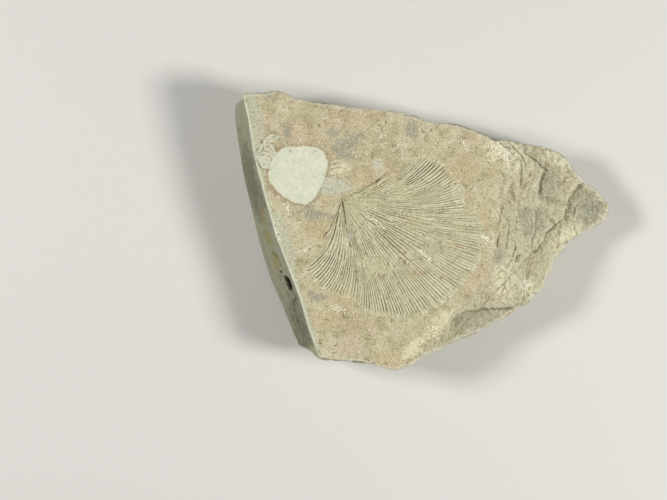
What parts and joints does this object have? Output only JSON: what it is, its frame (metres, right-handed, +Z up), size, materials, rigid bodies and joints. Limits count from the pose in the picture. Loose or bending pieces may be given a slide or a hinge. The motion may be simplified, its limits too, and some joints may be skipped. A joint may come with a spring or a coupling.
{
  "type": "fossil brachiopod impression",
  "caption": "Broken sandstone slab, sawn along one side, with the shallow fan-ribbed impression of a large brachiopod shell in its flat upper face.",
  "frame": {"origin": "middle of the bounding box, on the flat of the underside that the slab rests on", "axes": "+Z up, out of the bedding surface that holds the impression; +X along the slab from the sawn side to the thin broken tip; +Y towards the long broken edge behind the beak"},
  "size_m": [0.1022, 0.0752, 0.0225],
  "materials": {
    "sandstone": "matte"
  },
  "bodies": {
    "root": {"slab": "sandstone"}
  },
  "joints": []
}
